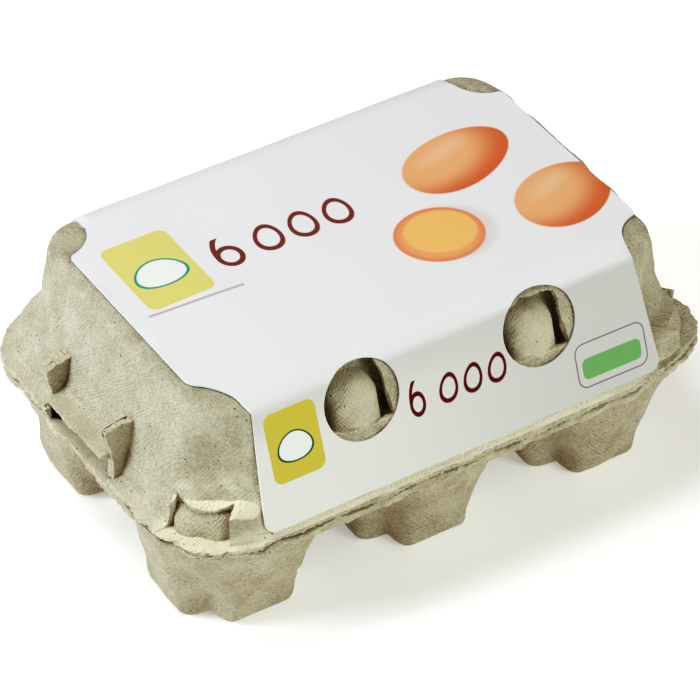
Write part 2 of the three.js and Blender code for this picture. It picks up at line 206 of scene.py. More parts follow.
def painted_highlight_on_ledges(places, normals):
    """Painted highlight on ledges and ridges that face up below the lid's roll, most of all in front and
    to the left.
    """
    x, y, z = places.T
    low = 0.35 - 0.3 * rise(-y, 44, 48)
    painted_light = rise(normals[:, 2], low, low + 0.4) * (1 - rise(z, 54, 58))
    in_front = rise(-y, 30, 36) * rise(z, 33, 33.6)
    return painted_light * (0.3 + 0.9 * in_front) * (1 - 0.6 * rise(x, 30, 56))


def painted_light_on_lid(places, normals):
    """The lid's painted light: painted highlight on its ledges, and painted shade on its vents' side walls
    and on the lip's foot over the seam's gap.
    """
    x, y, z = np.abs(places).T
    # painted shade: the vents' side walls go near black
    in_vent = (y > 11.8) & (y < 13.4) & (x > 60) & (x < 73) & (z < 38.2)
    gap = gaping(places)
    # painted shade on the lip's foot where the seam gapes
    seam_shade = 0.9 * gap * (1 - rise(places[:, 2] - SEAM_LIFT * gap, 32.1, 32.55))
    return np.where(in_vent, -1.0, painted_highlight_on_ledges(places, normals) - seam_shade)


def painted_highlight_on_lugs(places, _):
    """Painted highlight on the lugs, which makes them paler than the cups, most of all those behind the
    windows.
    """
    z = places[:, 2]
    return 0.25 * rise(z, 33, 36) + 0.3 * rise(z, 42, 46)


def painted_light_on_rim(places, normals):
    """Painted shade on the rim's upper edge where the seam gapes, and painted highlight on it between an
    end's cheeks.
    """
    tongue_highlight = (np.abs(places[:, 1]) < 13.5) * rise(normals[:, 2], 0.5, 0.9)
    return 0.9 * tongue_highlight - 0.8 * gaping(places) * rise(places[:, 2], 30.8, 31.4)


# ---- Plan of a rounded rectangle ----

def track(front, corner, end, back):
    """Stops once round a rounded rectangle, counter-clockwise from its front left: shares of the straight
    half lengths, facing angle, and the turn, which runs from 0 to 1 round each corner and is 0 on the
    straights. The four numbers are the steps along the front, round a corner, along an end and along the
    back."""
    legs = [
        (front, (-1, -1), (1, -1), -90, 0),
        (corner, (1, -1), (1, -1), -90, 90),
        (end, (1, -1), (1, 1), 0, 0),
        (corner, (1, 1), (1, 1), 0, 90),
        (back, (1, 1), (-1, 1), 90, 0),
        (corner, (-1, 1), (-1, 1), 90, 90),
        (end, (-1, 1), (-1, -1), 180, 0),
        (corner, (-1, -1), (-1, -1), 180, 90),
    ]
    stops = []
    for steps, (x0, y0), (x1, y1), facing, sweep in legs:
        t = np.arange(steps) / steps
        turn = t if sweep else 0 * t
        angle = np.radians(facing + sweep * t)
        stops.append(np.stack([x0 + (x1 - x0) * t, y0 + (y1 - y0) * t, angle, turn]))
    return np.concatenate(stops, axis=1)


def plan(stops, half_x, half_y, radius, hollow=0.0):
    """Rounded rectangle for every row: straight sides and quarter circles of a radius, which a hollow pushes
    in, deepest midway round them."""
    share_x, share_y, facing, turn = stops
    reach = radius - hollow * np.sin(np.pi * turn) ** 2
    x = share_x * (half_x - radius) + reach * np.cos(facing)
    y = share_y * (half_y - radius) + reach * np.sin(facing)
    return x, y


# ---- Lid ----

def lid_side(off, steps=10):
    """The lid's long side in section, from the leaning panel's top round the tight crease and the gentle
    roll to the flat top: half widths and heights of two arcs that meet in one tangent, carried off outside
    the lid."""
    creep = ROLL_RADIUS - CREASE_RADIUS
    roll_end = math.pi / 2 - ROLL_TURN
    crease_z = TOP_Z - ROLL_RADIUS + creep * math.sin(roll_end)
    crease_y = panel_at(crease_z + CREASE_RADIUS * math.sin(LEAN)) - CREASE_RADIUS * math.cos(LEAN)
    crease = np.linspace(LEAN, roll_end, steps)
    roll = np.linspace(roll_end, math.pi / 2, steps)[1:]
    roll_y = crease_y - creep * math.cos(roll_end)
    y = [crease_y + (CREASE_RADIUS + off) * np.cos(crease), roll_y + (ROLL_RADIUS + off) * np.cos(roll)]
    z = [crease_z + (CREASE_RADIUS + off) * np.sin(crease),
         TOP_Z - ROLL_RADIUS + (ROLL_RADIUS + off) * np.sin(roll)]
    return np.concatenate(y), np.concatenate(z)


def panel_at(z):
    """Half width of the leaning panel at a height."""
    return PANEL_FOOT[0] - (z - PANEL_FOOT[1]) * math.tan(LEAN)


# Curves of the height: half length at the end walls, half width at the foot, and radius of the corners.
END_WALL = [(33.35, 73.4), (33.75, 71.8), (34.3, 70.1), (35.2, 69), (37, 68.1), (44.5, 66.3), (52.5, 64.5),
            (56.5, 63.5), (60, 62.4), (62.4, 61.5), (63.7, 60.4), (64.4, 58.6)]
BEAD = [(33.4, RIM_Y), (33.75, RIM_Y - 0.1), (34.3, RIM_Y - 0.5), (35.3, 49.3)]
LID_RADIUS = [(31.9, 19), (33.4, 18.6), (36, 16), (48, 16), (56, 12.5), (64.4, 8)]
LIP_Z = 33.4                   # the torn lip lies below this height


def lid_rows():
    """Heights and half widths of the lid's rows: lip, walls with close rows at the foot and round the shelf,
    crease and roll."""
    roll_y, roll_z = lid_side(0)
    lip = np.array([31.95, 32.0, 32.2, 32.5, 32.8, 33.1, 33.35])
    foot, low_wall = np.arange(33.5, 36, 0.16), np.arange(36, 38.8, 0.4)
    shelf, high_wall = np.arange(38.8, 44.2, 0.14), np.arange(44.4, 57.4, 0.45)
    walls = np.concatenate([foot, low_wall, shelf, high_wall])
    lip_y = RIM_Y - np.array([0.5, 0.1, 0, 0, 0, 0, 0])
    wall_y = np.where(walls < PANEL_FOOT[1], np.interp(walls, *zip(*BEAD)), panel_at(walls))
    return np.concatenate([lip, walls, roll_z]), np.concatenate([lip_y, wall_y, roll_y])


def corner_places(points, side):
    """Places at a front corner: outwards along the diagonal from its lug's axis, and along the face to the
    front."""
    away_x = side * (points[..., 0] - side * CORNER_LUG[0])
    away_y = points[..., 1] - CORNER_LUG[1]
    return (away_x - away_y) / math.sqrt(2), (-away_x - away_y) / math.sqrt(2)


# Height of each front corner box along its face.
LEDGE = [(-14, 40.4), (-10, 40.9), (-7.5, 41), (-5, 40.6), (2.5, 40.5), (5, 40.9), (7, 41.7), (9, 41.7),
         (11, 41), (14, 40.4)]
BOX_X = 54.8                   # middle of the arc that each front corner box follows in plan
BOX_Y = -33.4
BOX_RADIUS = 15.3
BOX_IN = 1.0                   # how much tighter the right box is along the length
# Reach of the wall between an end's cheeks at each height: a chute that flares outwards at its foot.
CHUTE = [(38.8, 74.9), (39.6, 74.6), (39.8, 73.7), (39.95, 72.4), (40.1, 71.2), (40.3, 70.3), (40.7, 69.7),
         (41.4, 69.3), (43, 68.8), (45.5, 68.2), (48, 67.5), (50.5, 66.7)]
SEAM_PLACE = (-62, -40, 23)    # middle and reach of the stretch where the seam gapes
SEAM_LIFT = 0.8                # how far the lip is lifted there
TUCK = 2.6                     # how far the rim's front right corner lies inside the other corners' plan
# How much further in the right end stands than the left one, at each height.
RIGHT_IN = [(34.5, 0), (39, 1.2), (45, 1.1), (49, 0.4), (54, 0.5), (58, 0.8), (61, 1.4), (64.4, 0.8)]


def tuck(points):
    """How far the rim lies inside its plan round the front right corner and along the end next to it."""
    out, along = corner_places(points, 1)
    x, y = points[..., 0], points[..., 1]
    beside = rise(y, -31, -26) * (1 - rise(y, -17, -11)) * (x > 60)
    return TUCK * np.exp(-((along - 9) / 11) ** 2) * rise(out, -4, 3) + 1.7 * beside


def gaping(points):
    """How far the seam between lid and tray gapes, from 0 to 1: round the front left corner."""
    x, y, reach = SEAM_PLACE
    away = np.hypot(points[..., 0] - x, points[..., 1] - y)
    return (1 - rise(away, 0.5 * reach, reach)) * (0.75 + 0.35 * ripples(points, 9, 91))


def lid_walls(stops, z, half_y):
    """The lid in plan at each height: a rounded rectangle whose half sizes, radius and corner hollows are
    curves of the height, with a crown on its ends that falls off as the square of the distance from their
    middle."""
    lip = z < LIP_Z
    lip_x = RIM_X - np.interp(z, [31.9, 32.1, 32.9, LIP_Z], [0.5, 0, 0, 0.4])
    half_x = np.where(lip, lip_x, curve(END_WALL, z))
    half_x = half_x - curve(RIGHT_IN, z) * (stops[0] > 0.5)
    radius = np.where(lip, RIM_RADIUS, curve(LID_RADIUS, z))
    hollow = LID_HOLLOW * rise(TOP_Z - z, 0.5, 17) * rise(z, 37, 40)
    x, y = plan(stops, half_x, half_y, radius, hollow)
    x = x * (1 + np.where(lip, 0, END_CROWN) * rise(z, 33, 36) / half_x * (1 - (y / half_y) ** 2))
    return x, y


def boxed_corners(stops, x, y, z):
    """Carries the walls of the two front corners out onto an arc, up to a ledge, so that they form boxes
    round the corner lugs."""
    turn = stops[3]
    front = stops[1] < 0
    at_right = stops[0] > 0
    box_x = np.sign(stops[0]) * BOX_X + (BOX_RADIUS - BOX_IN * at_right) * np.cos(stops[2])
    box_y = BOX_Y + BOX_RADIUS * np.sin(stops[2])
    along = corner_places(stack(box_x, box_y, 0), np.sign(stops[0]))[1]
    ledge = curve(LEDGE, along) + 0.7 * at_right * rise(-along, 3, 8)
    boxed = np.where(front, rise(turn, 0, 0.07) * (1 - rise(turn, 0.93, 1)), 0)
    soft = np.where(at_right, 0.25, 0.35 + 0.5 * rise(np.abs(along), 6.5, 9.5))
    boxed = boxed * (z > LIP_Z) * (1 - rise(z, ledge + 0.35 - 2 * soft, ledge + 0.35))
    return x + (box_x - x) * boxed, y + (box_y - y) * boxed


def flared_chutes(x, y, z):
    """Carries the end walls out between their cheeks, as far as the chute reaches at each height."""
    between = (np.abs(y) < HOOD_Y) & (z > LIP_Z) & (z < CHUTE[-1][0])
    flare = curve(CHUTE, np.maximum(z + 0.05 * y, CHUTE[0][0]))
    return np.where(between, np.sign(x) * np.maximum(np.abs(x), flare), x)


def lid_points():
    """The lid's outer face: torn lip, walls with boxed front corners and flared chutes, roll and flat top.
    Ripples move its points along the facing of the walls."""
    stops = track(front=150, corner=64, end=96, back=96)
    z, half_y = (row[:, None] for row in lid_rows())
    x, y = lid_walls(stops, z, half_y)
    x, y = boxed_corners(stops, x, y, z)
    y = y + RIM_SHIFT * (1 - rise(z, 33, 38))
    points = stack(flared_chutes(x, y, z), y, z)
    outward = stack(np.cos(stops[2]), np.sin(stops[2]), 0 * stops[2])
    sway = 0.16 * ripples(points, 13, 3) + 0.05 * ripples(points, 4, 4)
    frayed = 0.4 * torn(points, 5) * (z < LIP_Z)
    points = points + ((sway * rise(z, 32, 36) + frayed - tuck(points) * (z < 36))[..., None]) * outward
    points[..., 2] += 0.22 * torn(points * [1, 1, 0], 8) * (1 - rise(z, 31.9, 32.9))
    points[..., 2] += SEAM_LIFT * gaping(points) * (1 - rise(z, 31.9, 34.8))
    return crowned_top(points)


def crowned_top(points):
    """Adds rings that carry the last row inwards over the flat top."""
    rim = points[-1]
    middle = np.array([0, 0, TOP_Z])
    inner = [middle + (rim - middle) * share for share in (0.985, 0.96, 0.92, 0.86, 0.75, 0.55, 0.3, 0.1)]
    return np.concatenate([points, np.stack(inner)])


# ---- Openings in the lid ----

def loop_points(corners, step=0.35):
    """Evenly spaced points round a closed polygon."""
    corners = np.array([*corners, corners[0]], float)
    lengths = np.concatenate([[0], np.cumsum(np.hypot(*np.diff(corners, axis=0).T))])
    at = np.linspace(0, lengths[-1], int(lengths[-1] / step) + 1)[:-1]
    return np.stack([np.interp(at, lengths, corners[:, 0]), np.interp(at, lengths, corners[:, 1])], 1)


def cutter(corners, levels, origin, right, up, seed, fray=0.25):
    """A closed part with a torn wall: a polygon, counter-clockwise, carried along its normal. Each level has
    a distance along the normal and a width by which the polygon is let out from its middle."""
    flat = loop_points(corners)
    middle = flat.mean(axis=0)
    way = (flat - middle) / np.linalg.norm(flat - middle, axis=1, keepdims=True)
    right, up = np.array(right, float), np.array(up, float)
    normal = np.cross(right, up)
    rows = []
    for distance, wider in levels:
        ring = flat + way * wider
        rows.append(origin + ring[:, :1] * right + ring[:, 1:] * up + distance * normal)
    points = np.stack(rows)
    sideways = way[:, :1] * right + way[:, 1:] * up
    return points + (fray * torn(points, seed))[..., None] * sideways


WINDOW_HOLES = {  # across and up the panel from each window's middle
    -1: [(-10.8, -4.6), (-7.8, -5.9), (-3.7, -6.9), (1.3, -7.4), (7.6, -7.1), (7.4, -2.7), (6.9, 2.6),
         (6.3, 5.5), (5.4, 7.4), (4.4, 9.2), (-6, 9.2), (-9.8, 8)],
    1: [(-10.8, -5.6), (-7.2, -7), (-4.3, -7.4), (-0.4, -7.6), (3.1, -7.2), (7.3, -7.6), (6.7, -1.8),
        (6.3, 4.1), (5.6, 6.5), (2.9, 7.2), (0.2, 7.4), (-3, 7.5), (-5.6, 6.8), (-9.5, 6)],
}
CORNER_HOLE = [(-7.5, 33.5), (6.3, 33.5), (6.1, 38.5), (5.2, 39.5), (3.5, 39.6), (1.2, 39.3), (-1.5, 39.2),
               (-3.6, 39.3), (-5.6, 39.8), (-7.2, 38.8)]    # along the face and up, seen from outside
# Reach of the shelf over each corner lug along its face, where its front is torn away.
NOSE = [(-8, 0.6), (-6, 1.2), (-4.5, 2.6), (-2, 3.4), (1.5, 3.3), (3.2, 2.7), (4.6, 1.7), (6.5, 1.2)]
VENT_HOLES = {  # across and up under each end's chute, seen from outside
    -1: [(12.9, 40.0), (-12.9, 38.7), (-12.9, 31.2), (12.9, 31.2)],
    1: [(-12.9, 31.2), (12.9, 31.2), (12.9, 39.3), (-12.9, 39.3)],
}
VENT_SEEDS = {-1: 58, 1: 57}


def level_row(distances):
    """Levels of a cutter that keeps its width."""
    return [(distance, 0) for distance in distances]


def window_cutters():
    """Cutters for the two windows, which are wider behind the panel than in it."""
    up = (0, math.sin(LEAN), math.cos(LEAN))
    levels = [(-5.2, 1.2), (-1.9, 1.2), (-1.7, 0), (-1.2, 0), (-0.8, 0), (-0.4, 0), (0.2, 0), (3, 0)]
    cutters = []
    for side, corners in WINDOW_HOLES.items():
        origin = np.array([side * WINDOW_X, -PANEL_FOOT[0], PANEL_FOOT[1]]) + WINDOW_UP * np.array(up)
        cutters.append(cutter(corners, levels, origin, (1, 0, 0), up, 31 + side))
    return cutters


def corner_cutters():
    """Cutters for the two front corner openings. In front of the shelf's nose a cutter's roof is raised,
    which opens the box above, and one side of it slants outwards."""
    half = math.sqrt(0.5)
    axis = np.array([-CORNER_LUG[0], CORNER_LUG[1], 0])
    levels = level_row((-2.5, *np.arange(0, 4.2, 0.16), 4.6, 5.2, 6, 7, 9, 12))
    cutters = []
    for side in (-1, 1):
        cut = cutter(CORNER_HOLE, levels, axis, (half, -half, 0), (0, 0, 1), 51 + side, 0.15)
        out, along = corner_places(cut, -1)
        nose = curve(NOSE, along) + 0.2 * torn(cut * [1, 1, 0], 55)
        cut[..., 2] += 3.4 * rise(cut[..., 2], 36, 38.8) * rise(out, nose - 0.15, nose + 0.25)
        slant = np.where(along < -5, np.maximum(out - 2.2, 0), 0)
        cut = cut + slant[..., None] * np.array([-half, half, 0])
        cutters.append(cut if side < 0 else cut[:, ::-1] * [-1, 1, 1])
    return cutters


def vent_cutters():
    """Cutters for the vent under each end's chute."""
    levels = level_row((62, 66, 70, 72, 73, 73.5, 74, 74.5, 75, 78))
    return [cutter(corners, levels, 0, (0, side, 0), (0, 0, 1), VENT_SEEDS[side])
            for side, corners in VENT_HOLES.items()]


# ---- Lugs and cups ----

def barrel_points(half_width, depth, middles, shrink, root_z=30.6, boxy=0.06):
    """A thumb-shaped barrel: an ellipse made boxy by a squared sine, carried up a curve of middles and
    shrinking to its top as another curve says."""
    neck_z, top_z = shrink[0][0], shrink[-1][0]
    z = np.concatenate([np.linspace(root_z, neck_z, 20), np.linspace(neck_z, top_z, 22)[1:]])[:, None]
    swell = curve(shrink, z)
    angle = np.linspace(0, 2 * np.pi, 73)[:-1]
    square = 1 + boxy * np.sin(2 * angle) ** 2
    x = half_width * swell * np.cos(angle) * square
    y = curve(middles, z) + depth * swell * np.sin(angle) * square
    return stack(x, y, z)


def placed(points, turn, x, y):
    """Points turned about Z by an angle in degrees, then moved."""
    c, s = math.cos(math.radians(turn)), math.sin(math.radians(turn))
    return points @ np.array([[c, s, 0], [-s, c, 0], [0, 0, 1]]) + np.array([x, y, 0])


WINDOW_LUG_X = (-24.6, 23.2)
WINDOW_LUG = (6.5, 4.9)        # half width and depth
WINDOW_LUG_MIDDLES = [(30, -40.4), (44, -40.4), (50, -39.3), (55, -37.7), (59, -36.1), (61, -35.5)]
WINDOW_LUG_SHRINK = [(54, 1), (55.6, 0.97), (56.9, 0.9), (58.1, 0.75), (59, 0.5), (59.4, 0.2)]
CORNER_LUG_SIZE = (6.75, 5.4)
CORNER_LUG_MIDDLES = [(30, 0), (34, 0), (36.5, 0.9), (38.3, 1.9), (39.7, 2.6)]
CORNER_LUG_SHRINK = [(37.6, 1), (38.5, 0.96), (39.1, 0.88), (39.5, 0.72), (39.7, 0.4)]
CORNER_LUG_NUDGE = 0.7         # along its face, away from the front


def lug_parts():
    """Two lugs behind the windows and one in each front corner, each a little uneven."""
    window_lug = barrel_points(*WINDOW_LUG, WINDOW_LUG_MIDDLES, WINDOW_LUG_SHRINK)
    lugs = [placed(window_lug, 0, x, 0) for x in WINDOW_LUG_X]
    corner_lug = barrel_points(*CORNER_LUG_SIZE, CORNER_LUG_MIDDLES, CORNER_LUG_SHRINK, boxy=0.2)
    for side in (-1, 1):
        nudged = corner_lug + [CORNER_LUG_NUDGE * side, 0, 0]
        lugs.append(placed(nudged, 45 * side, side * CORNER_LUG[0], CORNER_LUG[1]))
    return [grid_part(lug + 0.12 * ripples(lug, 6, 12)[..., None] * np.array([1, 1, 0])) for lug in lugs]


# Half width of a cup at each height.
CUP_WALL = [(0, 16.0), (12, 18.8), (23.4, 21.7), (27.5, 23.0), (29, 23.9), (30.2, 25.2)]
CUP_BEVEL = 2.6                # radius of the roll from the foot into the wall
CUP_HOLLOW = 5.0               # depth of the hollow down a cup's corner, at the foot
CUP_HOLLOW_TOP = 27            # height at which it has faded out
CUP_RADII = (9.0, 20.5)        # of a cup's corners in plan, at the foot and at the mouth
CUP_MOUTH_Z = 29.35
CUP_LEAN = 1.2                 # how far the cups' feet lie to the left of their mouths


def cup_points(seed, dimple=0.0):
    """A cup: nearly round at the mouth, four-lobed at the foot, with hollows down its corners. Its rows are
    closest at the rolled foot. The dimple is the depth of a dent under the mouth at its front left."""
    z = np.concatenate([2 - 2 * np.cos(np.linspace(0, 1, 10) * np.pi / 2), np.arange(CUP_BEVEL, 30.2, 0.6)])
    z = np.sort(z)[:, None]
    bevel = CUP_BEVEL * (1 - np.sqrt(1 - (1 - np.minimum(1, z / CUP_BEVEL)) ** 2))
    half = curve(CUP_WALL, z) - bevel
    radius = CUP_RADII[0] + (CUP_RADII[1] - CUP_RADII[0]) * z / CUP_MOUTH_Z
    hollow = CUP_HOLLOW * (1 - rise(z, 0, CUP_HOLLOW_TOP))
    x, y = plan(track(14, 26, 14, 14), half, half, radius, hollow)
    points = stack(x - CUP_LEAN * (1 - rise(z, 0, 24)), y, z)
    sway = 0.2 * ripples(points, 12, seed) + 0.05 * ripples(points, 4, seed + 1)
    dent = np.hypot((points[..., 0] - points[..., 1]) / math.sqrt(2) / 2.3, (points[..., 2] - 27.2) / 1.3)
    sway -= dimple * (1 - rise(dent, 0.6, 1.0)) * (points[..., 0] < 0) * (points[..., 1] < 0)
    outward = points * [1, 1, 0] / np.linalg.norm(points[..., :2], axis=-1, keepdims=True)
    points = points + (sway * rise(z, 0, 3))[..., None] * outward
    floor = [points[0] * [share, share, 1] for share in (0.3, 0.7, 0.9)]
    inner_rows = ((-1, 0.965), (-12, 0.95), (-30, 0.93), (12, 0.5))
    inside = [points[row] * [share, share, 1] for row, share in inner_rows]
    return np.concatenate([np.stack(floor), points, np.stack(inside)])


RIM_PROFILE = [  # how far in and how high, from the middle of the underside round the edge to the top
    (30, 29.4), (12, 29.4), (1.0, 29.4), (0.4, 29.5), (0.1, 29.9), (0, 30.5), (0.05, 31.1), (0.2, 31.5),
    (0.6, 31.62), (12, 31.62), (30, 31.62),
]
RIM_GAPE = 2.2                 # how far the rim is drawn in under the gaping seam


def rim_points():
    """The tray's rim: a thin plate whose rounded profile is carried round a rounded rectangle and torn."""
    stops = track(150, 36, 76, 120)
    inset, z = np.array(RIM_PROFILE).T[..., None]
    x, y = plan(stops, RIM_X - inset, RIM_Y - inset, np.maximum(RIM_RADIUS - inset, 2))
    points = stack(x, y + RIM_SHIFT, z)
    edge = (inset < 2) * 1.0
    outward = stack(np.cos(stops[2]), np.sin(stops[2]), 0 * stops[2])
    inwards = tuck(points) + RIM_GAPE * gaping(points)
    points = points + ((0.45 * torn(points, 15) - inwards) * edge)[..., None] * outward
    points[..., 2] += 0.2 * torn(points * [1, 1, 0], 18) * edge * (z < 31)
    return points


# ---- End hoods ----

# Reach of a cheek's torn edge at each height.
CHEEK_EDGE = [(32.7, 72.7), (35, 72.4), (38.3, 72.5), (42, 73.1), (45, 73.6), (47.4, 74.1), (48.4, 74.0)]
CHEEK_SHEETS = [(0, 0), (1.9, -0.35)]    # a cheek's two layers: how far back, and how much lower and shorter
# Heights of the cheeks' tips by hood and cheek, -1 for the left hood and for the front cheek.
CHEEK_TIPS = {(-1, -1): 48.4, (-1, 1): 46.5, (1, -1): 45.4, (1, 1): 45.4}
CHEEK_FEET = {-1: 32.7, 1: 36.4}         # heights of the front and the back cheek's foot
CHEEK_Y = 13.7                 # half the distance between an end's two cheeks
CHEEK_ROOT_X = 61              # where a cheek starts inside the wall
CHEEK_ROOT_Z = 49.4            # top of a cheek there


def cheek(side, end, back, less):
    """A cheek's middle sheet: a grid spread from its root inside the wall across to its torn outer edge, and
    from its foot up to its sloping top edge. Side is -1 for the left hood, and end is -1 for its front
    cheek."""
    tip_z = CHEEK_TIPS[side, end] + less
    across, up = np.meshgrid(np.linspace(0, 1, 36), np.linspace(0, 1, 56), indexing="xy")
    foot_z = CHEEK_FEET[end]
    edge_z = foot_z + (tip_z - foot_z) * up
    edge_x = curve(CHEEK_EDGE, edge_z + (CHEEK_EDGE[-1][0] - tip_z) * up)
    x = CHEEK_ROOT_X + (edge_x - CHEEK_ROOT_X) * across
    z = edge_z + (CHEEK_ROOT_Z - tip_z) * up * (1 - across)
    sheet = stack(x, end * CHEEK_Y + back, z)
    outer = rise(sheet[..., 0], 70, 74)
    sheet[..., 0] += 0.25 * torn(sheet, 61 + side) * outer + less
    sheet[..., 2] += 0.15 * torn(sheet, 66 + side) * rise(up, 0.7, 1)
    sheet[..., 1] += 0.1 * ripples(sheet, 6, 62)
    return sheet if side > 0 else sheet[:, ::-1] * [-1, 1, 1]


def hood(side, material):
    """One end's two cheeks, as torn sheets with the thickness of pulp."""
    sheets = [cheek(side, end, back, less) for end in (-1, 1) for back, less in CHEEK_SHEETS]
    parts = [grid_part(sheet, closed=False) for sheet in sheets]
    piece = make_piece("hood_left" if side < 0 else "hood_right", parts, material, slot="lid_pulp")
    finish_with(piece, "SOLIDIFY", thickness=1.5 * MM, offset=0)
    piece.data.set_sharp_from_angle(angle=FOLD_ANGLE)
    return piece


# ---- Label ----

LABEL_TOP_X = 59.8             # half length on the top
LABEL_CREASE_X = 51.35         # at the crease
LABEL_FOOT_X = 54.04           # and at the lower edge
LABEL_FOOT_Z = 35.32
LABEL_CORNER = 3.4             # size of the round corners at the lower edge
BITE_ROUND = 1.8               # size of the round corner where a bite starts
BITES = {  # middle and radius of the round bite at each corner of the label's top
    (-1, -1): (68.5, 40.5, 16.1),
    (1, -1): (60.5, 39.0, 9.3),
    (-1, 1): (60.5, 35.3, 9.3),
    (1, 1): (60.5, 35.3, 9.3),
}


def label_section():
    """Lengths along the label from the middle of its top to one foot, with half widths and heights there."""
    y, z = lid_side(LABEL_OFF, steps=24)
    foot_y = panel_at(LABEL_FOOT_Z) + LABEL_OFF / math.cos(LEAN)
    y = np.concatenate([[0], y[::-1], [foot_y]])
    z = np.concatenate([[z[-1]], z[::-1], [LABEL_FOOT_Z]])
    lengths = np.concatenate([[0], np.cumsum(np.hypot(np.diff(y), np.diff(z)))])
    return lengths, y, z


SECTION = label_section()
LABEL_FLAT = SECTION[0][1]     # lengths along the label, from the middle of its top to the roll,
LABEL_CREASE = SECTION[0][-2]  # to the crease
LABEL_HALF = SECTION[0][-1]    # and to the lower edge


def fold(flat):
    """Carries flat label points, along X and across from the middle, over the lid: flat on top, then round
    roll and crease and straight down the panel."""
    lengths, y, z = SECTION
    across = np.abs(flat[:, 1])
    spread = np.interp(across, lengths, y) * np.sign(flat[:, 1])
    return np.stack([flat[:, 0], spread, np.interp(across, lengths, z)], axis=1)


def arc_to(points, middle, end, steps=6):
    """Appends a parabola from the last point to an end point, pulled to a middle point."""
    start, middle, end = np.array(points[-1]), np.array(middle), np.array(end)
    for t in np.linspace(0, 1, steps + 1)[1:]:
        points.append(tuple((1 - t) ** 2 * start + 2 * t * (1 - t) * middle + t * t * end))


def label_corner(side, end):
    """A quarter of the label's flat outline, from its end edge on the top round the bite and down to its
    foot. The bite is a circle seen from above, and the panel's edge runs straight from crease to foot."""
    middle_x, middle_y, radius = BITES[side, end]
    lengths, widths, _ = SECTION
    bite_start = middle_y - math.sqrt(radius**2 - (middle_x - LABEL_TOP_X) ** 2)
    points = [(LABEL_TOP_X, 0.0), (LABEL_TOP_X, bite_start - BITE_ROUND)]
    angles = np.linspace(math.pi + math.asin((middle_y - bite_start) / radius) - 0.16, math.pi, 14)
    bite = np.stack([middle_x + radius * np.cos(angles), middle_y + radius * np.sin(angles)], 1)
    bite[:, 1] = np.interp(bite[:, 1], widths, lengths)
    arc_to(points, (LABEL_TOP_X, bite_start), tuple(bite[0]))
    points += [tuple(p) for p in bite[1:] if p[1] < LABEL_CREASE - 2 and p[0] > LABEL_CREASE_X]
    panel = LABEL_HALF - LABEL_CREASE
    for t in np.linspace(0, 1, 14):
        length = LABEL_CREASE + (panel - LABEL_CORNER) * t
        spread = (LABEL_FOOT_X - LABEL_CREASE_X) * (length - LABEL_CREASE) / panel
        points.append((LABEL_CREASE_X + spread, length))
    arc_to(points, (LABEL_FOOT_X, LABEL_HALF), (LABEL_FOOT_X - LABEL_CORNER, LABEL_HALF), steps=10)
    return [(side * x, end * y) for x, y in points]


def label_outline():
    """The label's flat outline, counter-clockwise, without the points that two quarters share."""
    outline = [*label_corner(1, 1), *label_corner(-1, 1)[::-1],
               *label_corner(-1, -1), *label_corner(1, -1)[::-1]]
    return [point for i, point in enumerate(outline) if math.dist(point, outline[i - 1]) > 0.05]


def window_loop(side):
    """The round window of one side in the label's flat places."""
    angle = np.linspace(0, 2 * np.pi, 97)[:-1]
    up = -(LABEL_HALF - WINDOW_UP)
    return list(zip(side * WINDOW_X + WINDOW_RADIUS * np.cos(angle), up + WINDOW_RADIUS * np.sin(angle)))


def on_paper(points, loops):
    """Which points lie inside the first loop, the label's edge, and outside the others, its windows."""
    edge, *windows = loops
    good = inside_loop(points, edge)
    for window in windows:
        good &= ~inside_loop(points, window)
    return good


def inner_points(loops):
    """Points spread over the paper in rows across its length, closest over roll and crease, and clear of its
    edges."""
    half = np.concatenate([np.arange(1, LABEL_FLAT, 2.0), np.linspace(LABEL_FLAT, LABEL_CREASE + 0.6, 22),
                           np.arange(LABEL_CREASE + 1.8, LABEL_HALF - 0.5, 1.5)])
    xs, ys = np.meshgrid(np.arange(-59, 59.5, 1.5), np.concatenate([-half[::-1], half]))
    inner = np.stack([xs.ravel(), ys.ravel()], 1)
    keep = on_paper(inner, loops)
    for loop in loops:
        away = inner[:, None, :] - np.array(loop)[None]
        keep &= np.min(np.hypot(away[..., 0], away[..., 1]), axis=1) >= 0.5
    return inner[keep]


def label_mesh():
    """Flat triangles of the label with its two round windows punched."""
    loops = [label_outline(), window_loop(-1), window_loop(1)]
    points, edges = [], []
    for loop in loops:
        start = len(points)
        points += loop
        edges += [(start + i, start + (i + 1) % len(loop)) for i in range(len(loop))]
    points += [tuple(point) for point in inner_points(loops)]
    made = delaunay_2d_cdt([Vector(point) for point in points], edges, [], 0, 1e-5)
    flat = np.array([tuple(point) for point in made[0]])
    faces = np.array(made[2])
    return flat, faces[on_paper(flat[faces].mean(axis=1), loops)]


def inside_loop(points, loop):
    """Which points lie inside a closed loop: a ray from each one crosses the loop an odd number of times."""
    loop = np.array(loop)
    odd = np.zeros(len(points), bool)
    for (ax, ay), (bx, by) in zip(loop, np.roll(loop, -1, axis=0)):
        if ay != by:
            crosses = (ay > points[:, 1]) != (by > points[:, 1])
            odd ^= crosses & (points[:, 0] < (bx - ax) * (points[:, 1] - ay) / (by - ay) + ax)
    return odd


def make_label(material):
    """The label: a slightly wavy sheet of paper folded over the lid, with its flat places as its UV map."""
    flat, faces = label_mesh()
    points = fold(flat)
    points = points + 0.05 * ripples(points, 30, 71)[:, None] * np.array([0, 0, 1])
    piece = make_piece("paper_label", [(points, [faces], [flat[faces]])], material, stands_for="label",
                       slot="label_paper")
    finish_with(piece, "SOLIDIFY", thickness=0.35 * MM, offset=-1)
    piece.data.set_sharp_from_angle(angle=FOLD_ANGLE)


# ---- Shader kit ----

